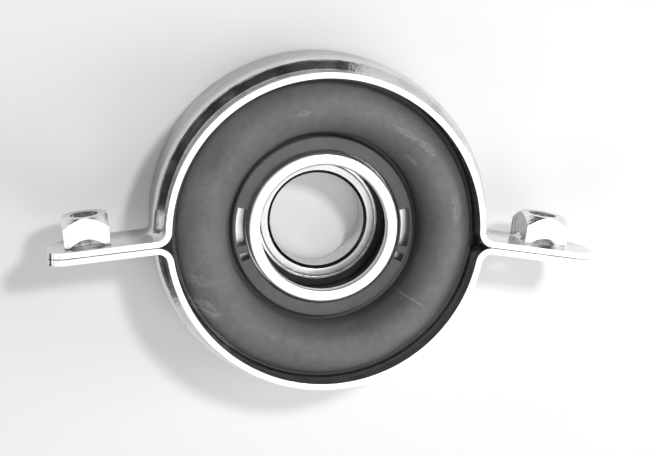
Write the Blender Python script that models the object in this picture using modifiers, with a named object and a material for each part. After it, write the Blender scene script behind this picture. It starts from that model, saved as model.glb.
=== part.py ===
"""Driveshaft centre bearing: a ball bearing in a rubber cushion, held by two pressed straps.

Units are metres. The Z axis is the shaft's axis and the part lies on the rear rim of its
bearing sleeve, at Z = 0. X runs from ear to ear, and +Y is the side with the weld nuts.
"""

import math

import bmesh
import bpy
from mathutils import Matrix, Vector

# Fit between pieces that touch, and running fit between pieces that turn
SEAT_GAP = 0.0003
RUNNING_GAP = 0.0003

# Ball bearing, a standard size of 30 x 55 x 13 mm
BORE_RADIUS = 0.0150
BEARING_RADIUS = 0.0275
BEARING_WIDTH = 0.0130
BALL_SHARE = 0.2858
BALL_COUNT = 11
RACE_CHAMFER = 0.0010
LAND_SHARE = 0.63
SEAL_SEAT_DEPTH = 0.0016
SEAL_SEAT_SHARE = 0.35
INNER_END_SHARE = 0.225

# Seals and the steel rings that the inner race carries
SEAL_THICKNESS = 0.0010
FLINGER_WALL = 0.0008
FLINGER_WIDTH = 0.0011

# Moulded cage
CAGE_CLEARANCE = 0.00095
CAGE_BACK = 0.0009
CAGE_HORN_HEIGHT = 0.0014

# Bearing sleeve, bonded into the rubber
SLEEVE_WALL = 0.0015
SLEEVE_LENGTH = 0.0206
SLEEVE_LIP_THICKNESS = 0.0012
SLEEVE_LIP_REACH = 0.0030
SLEEVE_EDGE = 0.0006

# Front dust cover
COVER_WALL = 0.0012
COVER_SHOULDER = 0.0043
COVER_FACE_WIDTH = 0.0038
COVER_NECK_HEIGHT = 0.0066
COVER_LIP_LENGTH = 0.0025
COVER_EDGE_ROUND = 0.0006

# Straps: two pressed halves that meet at their ears
SHEET = 0.0018
STRAP_WIDTH = 0.0355
STRAP_REAR = 0.0020
STRAP_FRONT_RADIUS = 0.0475
STRAP_JOGGLE = 0.0035
FRONT_BAND = 0.0100
JOGGLE_LENGTH = 0.0040
BEND_RADIUS = 0.0030
EAR_DROOP = math.radians(7.2)
EAR_LEVEL = 0.0021
EAR_WIDTH = 0.0227
EAR_RELIEF = 0.0010
EAR_TIP = 0.0844
EAR_TIP_LENGTH = 0.0047
EAR_CORNER_LENGTH = 0.0065
EAR_CORNER_WIDTH = 0.0115
EAR_FRONT_ROUND = 0.0020
SPLIT_GAP = 0.0008

# Bolt holes, which lie a little to the left of the shaft's axis, and the square weld nuts over them
BOLT_SPACING = 0.1411
BOLT_SHIFT = -0.00165
BOLT_HOLE_RADIUS = 0.0055
NUT_ACROSS_FLATS = 0.0140
NUT_HEIGHT = 0.0086
NUT_HOLE_RADIUS = 0.00425
NUT_CHAMFER_ANGLE = math.radians(48.0)
NUT_FOOT_HEIGHT = 0.0016
NUT_FOOT_WIDTH = 0.0016
NUT_TURN = {"left": 0.0, "right": math.radians(5.0)}

# Rubber cushion
CUSHION_WALL = 0.0046
CUSHION_COLLAR_WALL = 0.0050
CUSHION_INNER_WALL = 0.0042
CUSHION_REAR_STEP = 0.0015
CUSHION_DRAFT = 0.0006
CREST_DROP = 0.0015
CUSHION_EDGE_GAP = 0.0012
CUSHION_EDGE_SEAT = 0.0010
LIP_SETBACK = 0.0009
LIP_HEIGHT = 0.0048
LIP_ROUND = 0.0007
GROOVE_WIDTH = 0.0019
GROOVE_DEPTH = 0.0030
GROOVE_DRAFT = 0.0004

# Windows in the cushion's lip, through which the dust cover's flange shows
WINDOW_ANGLE = math.radians(26.0)
WINDOW_STRIP = 0.0005
WINDOW_RIM = 0.0011
NOTCH_ANGLE = math.radians(5.0)
NOTCH_OFFSET = math.radians(21.0)

# Cutters and facets
CUT_MARGIN = 0.0010
EAR_CUT_DEPTH = 0.0200
FINE_STEPS = 40
HIDDEN_STEPS = 30
ARC_STEPS = 22
BEND_STEPS = 4
JOGGLE_STEPS = 4
WINDOW_STEPS = 5
CAGE_STEPS = 38
POCKET_STEPS = 12
BALL_SEGMENTS = 9
BALL_RINGS = 6
EAR_FOOT_SHARE = 0.3
BOLT_HOLE_STEPS = 20
NUT_HOLE_STEPS = 16
NUT_TURNED_STEPS = 24

# Levels along the axis, worked out from the sizes above
BEARING_REAR = SLEEVE_LIP_THICKNESS + SEAT_GAP
BEARING_FRONT = BEARING_REAR + BEARING_WIDTH
BEARING_MIDDLE = (BEARING_REAR + BEARING_FRONT) / 2
COVER_FLANGE_TOP = SLEEVE_LENGTH + SEAT_GAP + COVER_WALL
COVER_FRONT = COVER_FLANGE_TOP + COVER_NECK_HEIGHT
STRAP_FRONT = STRAP_REAR + STRAP_WIDTH
JOGGLE_FRONT = STRAP_FRONT - FRONT_BAND
JOGGLE_REAR = JOGGLE_FRONT - JOGGLE_LENGTH
EAR_REAR = STRAP_FRONT - EAR_WIDTH
EAR_MIDDLE = (EAR_REAR + STRAP_FRONT) / 2

# Radii, worked out from the sizes above
PITCH_RADIUS = (BORE_RADIUS + BEARING_RADIUS) / 2
BALL_RADIUS = BALL_SHARE * (BEARING_RADIUS - BORE_RADIUS)
RACE_LAND = LAND_SHARE * BALL_RADIUS
GROOVE_RADIUS = BALL_RADIUS + RUNNING_GAP
OUTER_LAND = PITCH_RADIUS + RACE_LAND
INNER_LAND = PITCH_RADIUS - RACE_LAND
INNER_END_RADIUS = INNER_LAND - INNER_END_SHARE * (INNER_LAND - BORE_RADIUS)
SEAL_SEAT_RADIUS = OUTER_LAND + SEAL_SEAT_SHARE * (BEARING_RADIUS - OUTER_LAND)
CAGE_RADIAL_WIDTH = 2 * (RACE_LAND - CAGE_CLEARANCE)
SLEEVE_BORE = BEARING_RADIUS + SEAT_GAP
SLEEVE_RADIUS = SLEEVE_BORE + SLEEVE_WALL
COVER_NECK_RADIUS = SLEEVE_BORE - COVER_SHOULDER
COVER_MOUTH_RADIUS = COVER_NECK_RADIUS - COVER_FACE_WIDTH
CUSHION_NECK_RADIUS = COVER_NECK_RADIUS + 2 * SEAT_GAP
LIP_RADIUS = SLEEVE_RADIUS - LIP_SETBACK
FOLD_INNER_RADIUS = LIP_RADIUS + GROOVE_WIDTH
FOLD_OUTER_RADIUS = STRAP_FRONT_RADIUS - SEAT_GAP - CUSHION_EDGE_GAP
CREST_RADIUS = (FOLD_INNER_RADIUS + FOLD_OUTER_RADIUS) / 2
CREST_HALF_WIDTH = (FOLD_OUTER_RADIUS - FOLD_INNER_RADIUS) / 2
WINDOW_OUTER_RADIUS = LIP_RADIUS - WINDOW_RIM
WINDOW_INNER_RADIUS = CUSHION_NECK_RADIUS + WINDOW_STRIP
STRAP_REAR_RADIUS = STRAP_FRONT_RADIUS + STRAP_JOGGLE
RUBBER_SIDE_BEND = BEND_RADIUS + SHEET


def clear_scene():
    """Remove every object, so that the script can be run again."""
    for thing in list(bpy.data.objects):
        bpy.data.objects.remove(thing, do_unlink=True)


def new_collection(name):
    """Return a collection of this name, linked to the scene."""
    group = bpy.data.collections.new(name)
    bpy.context.scene.collection.children.link(group)
    return group


def new_material(name, colour, metallic, roughness):
    """Return a Principled material."""
    material = bpy.data.materials.new(name)
    material.use_nodes = True
    shader = material.node_tree.nodes["Principled BSDF"]
    shader.inputs["Base Color"].default_value = (*colour, 1.0)
    shader.inputs["Metallic"].default_value = metallic
    shader.inputs["Roughness"].default_value = roughness
    return material


def new_object(name, mesh, group, material=None):
    """Link a mesh to a collection as a named object."""
    thing = bpy.data.objects.new(name, mesh)
    group.objects.link(thing)
    if material:
        mesh.materials.append(material)
    return thing


def arc(centre_radius, centre_height, radius, start, end, steps):
    """Return points of an arc in the radius and height plane, angles in degrees."""
    points = []
    for step in range(steps + 1):
        angle = math.radians(start + (end - start) * step / steps)
        points.append((centre_radius + radius * math.cos(angle), centre_height + radius * math.sin(angle)))
    return points


def turned(name, outline, steps, group, material):
    """Turn a closed outline, given clockwise as radius and height, about the shaft's axis."""
    mesh = bpy.data.meshes.new(name)
    vertices = [(radius, 0.0, height) for radius, height in outline]
    edges = [(index, (index + 1) % len(outline)) for index in range(len(outline))]
    mesh.from_pydata(vertices, edges, [])
    thing = new_object(name, mesh, group, material)
    screw = thing.modifiers.new("Turn", "SCREW")
    screw.axis = "Z"
    screw.angle = 2 * math.pi
    screw.steps = steps
    screw.render_steps = steps
    screw.use_merge_vertices = True
    screw.merge_threshold = 0.00001
    screw.use_smooth_shade = True
    return thing


def cut(thing, cutter):
    """Cut one object with another, which stays as a hidden cutter."""
    boolean = thing.modifiers.new("Cut with " + cutter.name, "BOOLEAN")
    boolean.operation = "DIFFERENCE"
    boolean.solver = "EXACT"
    boolean.object = cutter


def new_cutter(name, working_mesh, group):
    """Make a hidden cutter from a bmesh."""
    mesh = bpy.data.meshes.new(name)
    bmesh.ops.recalc_face_normals(working_mesh, faces=working_mesh.faces)
    working_mesh.to_mesh(mesh)
    working_mesh.free()
    cutter = new_object(name, mesh, group)
    cutter.hide_render = True
    cutter.display_type = "WIRE"
    return cutter


def ear_frame(side):
    """Return the ear's outward direction and its upward normal, for side +1 (right) or -1 (left)."""
    outward = Vector((side * math.cos(EAR_DROOP), -math.sin(EAR_DROOP), 0.0))
    upward = Vector((side * math.sin(EAR_DROOP), math.cos(EAR_DROOP), 0.0))
    return outward, upward


def bolt_point(side):
    """Return the point where a bolt's axis crosses the plane in which the ears meet."""
    outward, upward = ear_frame(side)
    distance = BOLT_SPACING / 2 + side * BOLT_SHIFT
    along = (distance - EAR_LEVEL * math.sin(EAR_DROOP)) / math.cos(EAR_DROOP)
    return outward * along + upward * EAR_LEVEL + Vector((0.0, 0.0, EAR_MIDDLE))


def joggle_radius(height):
    """Return the radius of a strap's rubber side at a height: wide at the rear, narrow at the front."""
    share = (height - JOGGLE_REAR) / JOGGLE_LENGTH
    share = min(1.0, max(0.0, share))
    return STRAP_REAR_RADIUS - STRAP_JOGGLE * (3 * share ** 2 - 2 * share ** 3)


def ear_reach(height):
    """Return how far the ear reaches in X at a height: its front corner is rounded."""
    from_front = STRAP_FRONT - height
    if from_front >= EAR_FRONT_ROUND:
        return EAR_TIP
    return EAR_TIP - EAR_FRONT_ROUND + math.sqrt(EAR_FRONT_ROUND ** 2 - (EAR_FRONT_ROUND - from_front) ** 2)


def band_heights():
    """Return the heights of the stations behind the ears, where a strap is only an arc."""
    top = EAR_REAR - EAR_RELIEF
    return [STRAP_REAR, (STRAP_REAR + top) / 2, top]


def ear_heights():
    """Return the heights of the stations with ears, close together along the joggle and the front corner."""
    joggle = [JOGGLE_REAR + JOGGLE_LENGTH * step / JOGGLE_STEPS for step in range(JOGGLE_STEPS + 1)]
    corner = [STRAP_FRONT - EAR_FRONT_ROUND * share for share in (1.0, 0.3, 0.0)]
    return [EAR_REAR] + joggle + corner


def bend_centre(radius, turn):
    """Return the axis of the bend into the right ear, for turn +1 (upper strap) or -1 (lower strap)."""
    outward, upward = ear_frame(1)
    level = EAR_LEVEL + (SEAT_GAP / 2 + RUBBER_SIDE_BEND) * turn
    along = math.sqrt((radius + RUBBER_SIDE_BEND) ** 2 - level ** 2)
    return outward * along + upward * level


def arc_points(height, turn):
    """Return a strap's rubber side at one height, from the middle of its arc to the bend."""
    radius = joggle_radius(height)
    centre = bend_centre(radius, turn)
    end_angle = math.atan2(centre.y, centre.x)
    start_angle = math.pi / 2 * turn
    points = []
    for step in range(ARC_STEPS + 1):
        angle = start_angle + (end_angle - start_angle) * step / ARC_STEPS
        points.append(Vector((radius * math.cos(angle), radius * math.sin(angle), height)))
    return points


def band_end_points(height, turn):
    """Return the rest of the arc behind the ear, down to the line where the two straps meet."""
    radius = joggle_radius(height)
    centre = bend_centre(radius, turn)
    start_angle = math.atan2(centre.y, centre.x)
    level = EAR_LEVEL + SPLIT_GAP / 2 * turn
    end_angle = math.asin(level / radius) - EAR_DROOP
    points = []
    for share in (0.5, 1.0):
        angle = start_angle + (end_angle - start_angle) * share
        points.append(Vector((radius * math.cos(angle), radius * math.sin(angle), height)))
    return points


def ear_points(height, turn):
    """Return the bend and the right ear at one height: a drooping plate with a level tip."""
    outward, upward = ear_frame(1)
    centre = bend_centre(joggle_radius(height), turn)
    first = math.atan2(-centre.y, -centre.x)
    last = math.atan2(-upward.y * turn, -upward.x * turn)
    sweep = (last - first + math.pi) % (2 * math.pi) - math.pi
    points = []
    for step in range(1, BEND_STEPS + 1):
        angle = first + sweep * step / BEND_STEPS
        spoke = Vector((math.cos(angle), math.sin(angle), 0.0)) * RUBBER_SIDE_BEND
        points.append(Vector((centre.x, centre.y, height)) + spoke)
    foot = points[-1]
    knee = foot + outward * (EAR_TIP - EAR_TIP_LENGTH - foot.x) / math.cos(EAR_DROOP)
    points.append(foot.lerp(knee, EAR_FOOT_SHARE))
    points.append(knee)
    points.append(Vector((ear_reach(height), knee.y, height)))
    return points


def add_strip(sheet, rows, flip):
    """Add the faces between neighbouring rows of vertices."""
    for lower_row, upper_row in zip(rows, rows[1:]):
        for step in range(len(lower_row) - 1):
            corners = [lower_row[step], lower_row[step + 1], upper_row[step + 1], upper_row[step]]
            sheet.faces.new(reversed(corners) if flip else corners)


def make_strap(name, turn, group, cutters, material):
    """Loft a strap through its stations, mirror it, thicken it outward and cut its ears."""
    sheet = bmesh.new()
    flip = turn < 0
    heights = band_heights() + ear_heights()
    arcs = [[sheet.verts.new(point) for point in arc_points(height, turn)] for height in heights]
    add_strip(sheet, arcs, flip)
    ends = []
    for row, height in zip(arcs, band_heights()):
        ends.append([row[-1]] + [sheet.verts.new(point) for point in band_end_points(height, turn)])
    add_strip(sheet, ends, flip)
    ears = []
    for row, height in zip(arcs[len(ends):], ear_heights()):
        ears.append([row[-1]] + [sheet.verts.new(point) for point in ear_points(height, turn)])
    add_strip(sheet, ears, flip)
    mesh = bpy.data.meshes.new(name)
    sheet.to_mesh(mesh)
    sheet.free()
    mesh.shade_smooth()
    strap = new_object(name, mesh, group, material)
    mirror = strap.modifiers.new("Both ears", "MIRROR")
    mirror.use_axis = (True, False, False)
    mirror.merge_threshold = 0.00001
    thicken = strap.modifiers.new("Sheet", "SOLIDIFY")
    thicken.thickness = SHEET
    thicken.offset = -1
    thicken.use_even_offset = True
    for cutter in cutters:
        cut(strap, cutter)
    return strap


def make_corner_cutters(group):
    """Make the two blocks that cut the ears' rear corners off at a slant."""
    length = math.hypot(EAR_CORNER_LENGTH, EAR_CORNER_WIDTH)
    slant = math.atan2(EAR_CORNER_LENGTH, EAR_CORNER_WIDTH)
    cutters = []
    for label, side in (("left", -1), ("right", 1)):
        block = bmesh.new()
        size = (length, EAR_CUT_DEPTH, 2 * length)
        bmesh.ops.create_cube(block, size=1.0, matrix=Matrix.Diagonal((*size, 1.0)))
        cutter = new_cutter("ear_corner_" + label, block, group)
        middle = Vector((side * (EAR_TIP - EAR_CORNER_LENGTH / 2), bolt_point(side).y,
                         EAR_REAR + EAR_CORNER_WIDTH / 2))
        facing = Vector((side * math.cos(slant), 0.0, -math.sin(slant)))
        cutter.rotation_euler = (0.0, side * slant, 0.0)
        cutter.location = middle + facing * length / 2
        cutters.append(cutter)
    return cutters


def make_bolt_cutters(group):
    """Make the two cylinders that drill both straps' ears."""
    cutters = []
    for label, side in (("left", -1), ("right", 1)):
        drill = bmesh.new()
        bmesh.ops.create_cone(drill, cap_ends=True, segments=BOLT_HOLE_STEPS, radius1=BOLT_HOLE_RADIUS,
                              radius2=BOLT_HOLE_RADIUS, depth=EAR_CUT_DEPTH)
        cutter = new_cutter("bolt_hole_" + label, drill, group)
        cutter.matrix_world = bolt_frame(side)
        cutters.append(cutter)
    return cutters


def bolt_frame(side):
    """Return the matrix that stands a piece's Z axis along a bolt's axis."""
    outward, upward = ear_frame(side)
    along = upward.cross(outward)
    rotation = Matrix((outward, along, upward)).transposed()
    if rotation.determinant() < 0:
        rotation = Matrix((outward, -along, upward)).transposed()
    return Matrix.Translation(bolt_point(side)) @ rotation.to_4x4()


def make_nut(name, side, turn, group, cutter_group, material):
    """Make a square weld nut: chamfered on top, and hollowed below so that it stands on four feet."""
    flat_radius = NUT_ACROSS_FLATS / 2
    corner_radius = flat_radius / math.cos(math.pi / 4)
    half = NUT_HEIGHT / 2
    body = bmesh.new()
    bmesh.ops.create_cone(body, cap_ends=True, segments=4, radius1=corner_radius,
                          radius2=corner_radius, depth=NUT_HEIGHT)
    mesh = bpy.data.meshes.new(name)
    body.to_mesh(mesh)
    body.free()
    nut = new_object(name, mesh, group, material)
    seat = SEAT_GAP / 2 + SHEET + SEAT_GAP
    place = Matrix.Translation(Vector((0.0, 0.0, seat + half)))
    nut.matrix_world = bolt_frame(side) @ place @ Matrix.Rotation(turn + math.pi / 4, 4, "Z")

    drill = bmesh.new()
    bmesh.ops.create_cone(drill, cap_ends=True, segments=NUT_HOLE_STEPS, radius1=NUT_HOLE_RADIUS,
                          radius2=NUT_HOLE_RADIUS, depth=2 * NUT_HEIGHT)
    hole = new_cutter(name + "_hole", drill, cutter_group)
    hole.matrix_world = nut.matrix_world
    cut(nut, hole)

    # The hollow widens downward, so it leaves an arch on each side and a foot at each corner
    flare = (corner_radius - NUT_FOOT_WIDTH - flat_radius) / NUT_FOOT_HEIGHT
    depth = NUT_FOOT_HEIGHT + CUT_MARGIN
    middle = Matrix.Translation(Vector((0.0, 0.0, NUT_FOOT_HEIGHT - half - depth / 2)))
    relief = bmesh.new()
    bmesh.ops.create_cone(relief, cap_ends=True, segments=NUT_TURNED_STEPS, depth=depth,
                          radius1=flat_radius + flare * depth, radius2=flat_radius, matrix=middle)
    hollow = new_cutter(name + "_hollow", relief, cutter_group)
    hollow.matrix_world = nut.matrix_world
    cut(nut, hollow)

    outer = corner_radius + CUT_MARGIN
    shoulder = half - (outer - flat_radius) * math.tan(NUT_CHAMFER_ANGLE)
    outline = [(flat_radius, half), (outer, shoulder), (outer, -half - CUT_MARGIN)]
    bar = turned(name + "_chamfer", outline_with_core(outline), NUT_TURNED_STEPS, cutter_group, None)
    bar.hide_render = True
    bar.display_type = "WIRE"
    bar.matrix_world = nut.matrix_world
    chamfer = nut.modifiers.new("Chamfer", "BOOLEAN")
    chamfer.operation = "INTERSECT"
    chamfer.solver = "EXACT"
    chamfer.object = bar
    return nut


def outline_with_core(outline):
    """Close an outer outline into a ring whose inside is a thin core, well within the nut's hole."""
    core = NUT_HOLE_RADIUS / 4
    return outline + [(core, outline[-1][1]), (core, outline[0][1])]


def make_cushion(group, cutter_group, material):
    """Turn the rubber cushion: outer collar, rounded fold and inner collar, with windows in its lip."""
    collar = STRAP_REAR_RADIUS - SEAT_GAP
    front_collar = STRAP_FRONT_RADIUS - SEAT_GAP
    rear = STRAP_REAR + CUSHION_REAR_STEP
    joggle = JOGGLE_REAR - SEAT_GAP
    crest_centre = STRAP_FRONT - CREST_DROP - CREST_HALF_WIDTH
    outline = [(collar, joggle), (collar, rear)]

    # Hollow rear side, one wall inside the front side
    hollow_outer = collar - CUSHION_COLLAR_WALL
    hollow_inner = SLEEVE_RADIUS + SEAT_GAP + CUSHION_INNER_WALL
    outline.append((hollow_outer, rear))
    outline.append((hollow_outer - CUSHION_DRAFT, joggle))
    outline += arc(CREST_RADIUS, crest_centre, CREST_HALF_WIDTH - CUSHION_WALL, 0, 180, 5)
    outline.append((hollow_inner, SLEEVE_LENGTH))
    outline.append((hollow_inner, CUSHION_REAR_STEP))

    # Bore, bonded to the sleeve and the dust cover
    bond = SLEEVE_RADIUS + SEAT_GAP
    lip_base = COVER_FLANGE_TOP + SEAT_GAP
    neck = CUSHION_NECK_RADIUS
    lip_top = COVER_FLANGE_TOP + LIP_HEIGHT
    outline.append((bond, CUSHION_REAR_STEP))
    outline.append((bond, lip_base))
    outline.append((neck, lip_base))
    outline += arc(neck + LIP_ROUND, lip_top - LIP_ROUND, LIP_ROUND, 180, 90, 1)
    outline += arc(LIP_RADIUS - LIP_ROUND, lip_top - LIP_ROUND, LIP_ROUND, 90, 0, 2)

    # Groove round the lip, then the fold's rounded crest
    groove_bottom = lip_top - GROOVE_DEPTH
    outline.append((LIP_RADIUS + GROOVE_DRAFT, groove_bottom))
    outline.append((FOLD_INNER_RADIUS - GROOVE_DRAFT, groove_bottom))
    outline += arc(CREST_RADIUS, crest_centre, CREST_HALF_WIDTH, 180, 0, 11)
    outline.append((front_collar - CUSHION_EDGE_GAP, JOGGLE_FRONT + 2 * CUSHION_EDGE_SEAT))
    outline.append((front_collar, JOGGLE_FRONT + CUSHION_EDGE_SEAT))
    outline.append((front_collar, JOGGLE_FRONT))
    cushion = turned("rubber_cushion", outline, FINE_STEPS, group, material)

    for label, middle, turn in (("left", math.pi, 1), ("right", 0.0, -1)):
        levels = (lip_base, lip_top)
        cut(cushion, make_window_cutter("window_" + label, middle, WINDOW_ANGLE, *levels, cutter_group))
        notch = middle + turn * NOTCH_OFFSET
        cut(cushion, make_window_cutter("notch_" + label, notch, NOTCH_ANGLE, *levels, cutter_group))
    return cushion


def make_window_cutter(name, middle, spread, base, top, group):
    """Make the curved block that opens a window in the lip, through to the dust cover's flange."""
    block = bmesh.new()
    rows = []
    for step in range(WINDOW_STEPS + 1):
        angle = middle + spread * (step / WINDOW_STEPS - 0.5)
        spoke = Vector((math.cos(angle), math.sin(angle), 0.0))
        row = []
        low = Vector((0.0, 0.0, base - CUT_MARGIN))
        high = Vector((0.0, 0.0, top + CUT_MARGIN))
        for radius, level in ((WINDOW_INNER_RADIUS, low), (WINDOW_OUTER_RADIUS, low),
                              (WINDOW_OUTER_RADIUS, high), (WINDOW_INNER_RADIUS, high)):
            row.append(block.verts.new(spoke * radius + level))
        rows.append(row)
    for first, second in zip(rows, rows[1:]):
        for corner in range(4):
            after = (corner + 1) % 4
            block.faces.new((first[corner], first[after], second[after], second[corner]))
    block.faces.new(rows[0])
    block.faces.new(reversed(rows[-1]))
    return new_cutter(name, block, group)


def make_sleeve(group, material):
    """Turn the bearing sleeve: a drawn tube with a lip that stops the outer race at the rear."""
    outline = [(SLEEVE_RADIUS, SLEEVE_LENGTH),
               (SLEEVE_RADIUS, SLEEVE_EDGE), (SLEEVE_RADIUS - SLEEVE_EDGE, 0.0),
               (SLEEVE_BORE - SLEEVE_LIP_REACH, 0.0), (SLEEVE_BORE - SLEEVE_LIP_REACH, SLEEVE_LIP_THICKNESS),
               (SLEEVE_BORE, SLEEVE_LIP_THICKNESS), (SLEEVE_BORE, SLEEVE_LENGTH)]
    return turned("bearing_sleeve", outline, FINE_STEPS, group, material)


def make_dust_cover(group, material):
    """Turn the front dust cover: a skirt in the sleeve, a flange, a neck and a turned-in mouth."""
    skirt = SLEEVE_BORE - SEAT_GAP
    foot = BEARING_FRONT + SEAT_GAP
    flange_bottom = COVER_FLANGE_TOP - COVER_WALL
    lip_end = COVER_FRONT - COVER_LIP_LENGTH
    mouth_wall = COVER_MOUTH_RADIUS + COVER_WALL
    neck_inner = COVER_NECK_RADIUS - COVER_WALL
    edge = COVER_FRONT - COVER_EDGE_ROUND
    outline = arc(COVER_NECK_RADIUS - COVER_EDGE_ROUND, edge, COVER_EDGE_ROUND, 90, 0, 2)
    outline += [(COVER_NECK_RADIUS, COVER_FLANGE_TOP), (SLEEVE_RADIUS, COVER_FLANGE_TOP),
                (SLEEVE_RADIUS, flange_bottom), (skirt, flange_bottom), (skirt, foot),
                (skirt - COVER_WALL, foot), (skirt - COVER_WALL, flange_bottom - COVER_WALL / 2),
                (neck_inner + COVER_WALL / 2, flange_bottom - COVER_WALL / 2),
                (neck_inner, flange_bottom + COVER_WALL / 2),
                (neck_inner, COVER_FRONT - COVER_WALL), (mouth_wall, COVER_FRONT - COVER_WALL),
                (mouth_wall, lip_end), (COVER_MOUTH_RADIUS, lip_end)]
    outline += arc(COVER_MOUTH_RADIUS + COVER_EDGE_ROUND, edge, COVER_EDGE_ROUND, 180, 90, 2)
    return turned("front_dust_cover", outline, FINE_STEPS, group, material)


def race_groove(land, side, steps):
    """Return a race's ball groove, front to rear, for side +1 (outer race) or -1 (inner race)."""
    half = math.degrees(math.acos((land - PITCH_RADIUS) * side / GROOVE_RADIUS))
    if side > 0:
        return arc(PITCH_RADIUS, BEARING_MIDDLE, GROOVE_RADIUS, half, -half, steps)
    return arc(PITCH_RADIUS, BEARING_MIDDLE, GROOVE_RADIUS, 180 - half, 180 + half, steps)


def make_outer_race(group, material):
    """Turn the outer race, with its groove and a stepped seat for each seal."""
    seat = SEAL_SEAT_RADIUS
    edge = RACE_CHAMFER / 2
    outline = [(BEARING_RADIUS - edge, BEARING_FRONT), (BEARING_RADIUS, BEARING_FRONT - edge),
               (BEARING_RADIUS, BEARING_REAR + edge), (BEARING_RADIUS - edge, BEARING_REAR),
               (seat, BEARING_REAR), (seat, BEARING_REAR + SEAL_SEAT_DEPTH),
               (OUTER_LAND, BEARING_REAR + SEAL_SEAT_DEPTH)]
    outline += reversed(race_groove(OUTER_LAND, 1, 6))
    outline += [(OUTER_LAND, BEARING_FRONT - SEAL_SEAT_DEPTH), (seat, BEARING_FRONT - SEAL_SEAT_DEPTH),
                (seat, BEARING_FRONT)]
    return turned("outer_race", outline, HIDDEN_STEPS, group, material)


def make_inner_race(group, material):
    """Turn the inner race, with its groove, chamfered bore and stepped ends."""
    step = FLINGER_WIDTH + SEAT_GAP
    outline = [(INNER_END_RADIUS, BEARING_FRONT), (INNER_END_RADIUS, BEARING_FRONT - step),
               (INNER_LAND, BEARING_FRONT - step)]
    outline += race_groove(INNER_LAND, -1, 6)
    outline += [(INNER_LAND, BEARING_REAR + step), (INNER_END_RADIUS, BEARING_REAR + step),
                (INNER_END_RADIUS, BEARING_REAR), (BORE_RADIUS + RACE_CHAMFER, BEARING_REAR),
                (BORE_RADIUS, BEARING_REAR + RACE_CHAMFER), (BORE_RADIUS, BEARING_FRONT - RACE_CHAMFER),
                (BORE_RADIUS + RACE_CHAMFER, BEARING_FRONT)]
    return turned("inner_race", outline, FINE_STEPS, group, material)


def make_band(name, inner, outer, low, high, steps, group, material):
    """Turn a plain flat ring."""
    return turned(name, [(outer, high), (outer, low), (inner, low), (inner, high)], steps, group, material)


def make_end_rings(label, face, inward, group, steel, seal_rubber):
    """Make the flinger and the seal at one end of the bearing; inward points to the bearing's middle."""
    flinger_levels = sorted((face, face + inward * FLINGER_WIDTH))
    flinger_inner = INNER_END_RADIUS + SEAT_GAP
    flinger_outer = flinger_inner + FLINGER_WALL
    make_band(label + "_flinger", flinger_inner, flinger_outer, *flinger_levels, HIDDEN_STEPS, group, steel)
    seal_outer = SEAL_SEAT_RADIUS - SEAT_GAP
    seal_base = face + inward * (SEAL_SEAT_DEPTH - SEAT_GAP)
    seal_levels = sorted((seal_base, seal_base - inward * SEAL_THICKNESS))
    seal_inner = flinger_outer + RUNNING_GAP
    make_band(label + "_seal", seal_inner, seal_outer, *seal_levels, HIDDEN_STEPS, group, seal_rubber)


def make_balls(group, material):
    """Place the balls round the pitch circle, each its own object."""
    for number in range(BALL_COUNT):
        angle = 2 * math.pi * number / BALL_COUNT
        name = "ball_%02d" % (number + 1)
        shape = bmesh.new()
        bmesh.ops.create_uvsphere(shape, u_segments=BALL_SEGMENTS, v_segments=BALL_RINGS, radius=BALL_RADIUS)
        mesh = bpy.data.meshes.new(name)
        shape.to_mesh(mesh)
        shape.free()
        mesh.shade_smooth()
        ball = new_object(name, mesh, group, material)
        ball.location = (PITCH_RADIUS * math.cos(angle), PITCH_RADIUS * math.sin(angle), BEARING_MIDDLE)


def make_cage(group, cutter_group, material):
    """Make the crown cage: a moulded ring with a pocket for each ball, open at the front."""
    inner = PITCH_RADIUS - CAGE_RADIAL_WIDTH / 2
    outer = PITCH_RADIUS + CAGE_RADIAL_WIDTH / 2
    pocket_radius = BALL_RADIUS + RUNNING_GAP
    low = BEARING_MIDDLE - pocket_radius - CAGE_BACK
    high = BEARING_MIDDLE + CAGE_HORN_HEIGHT
    cage = make_band("ball_cage", inner, outer, low, high, CAGE_STEPS, group, material)
    pockets = bmesh.new()
    for number in range(BALL_COUNT):
        angle = 2 * math.pi * number / BALL_COUNT
        spot = (PITCH_RADIUS * math.cos(angle), PITCH_RADIUS * math.sin(angle), BEARING_MIDDLE)
        place = Matrix.Translation(spot)
        turn = Matrix.Rotation(angle, 4, "Z") @ Matrix.Rotation(math.pi / 2, 4, "Y")
        bmesh.ops.create_cone(pockets, cap_ends=True, segments=POCKET_STEPS, radius1=pocket_radius,
                              radius2=pocket_radius, depth=2 * CAGE_RADIAL_WIDTH, matrix=place @ turn)
    cut(cage, new_cutter("ball_pockets", pockets, cutter_group))
    return cage


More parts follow.
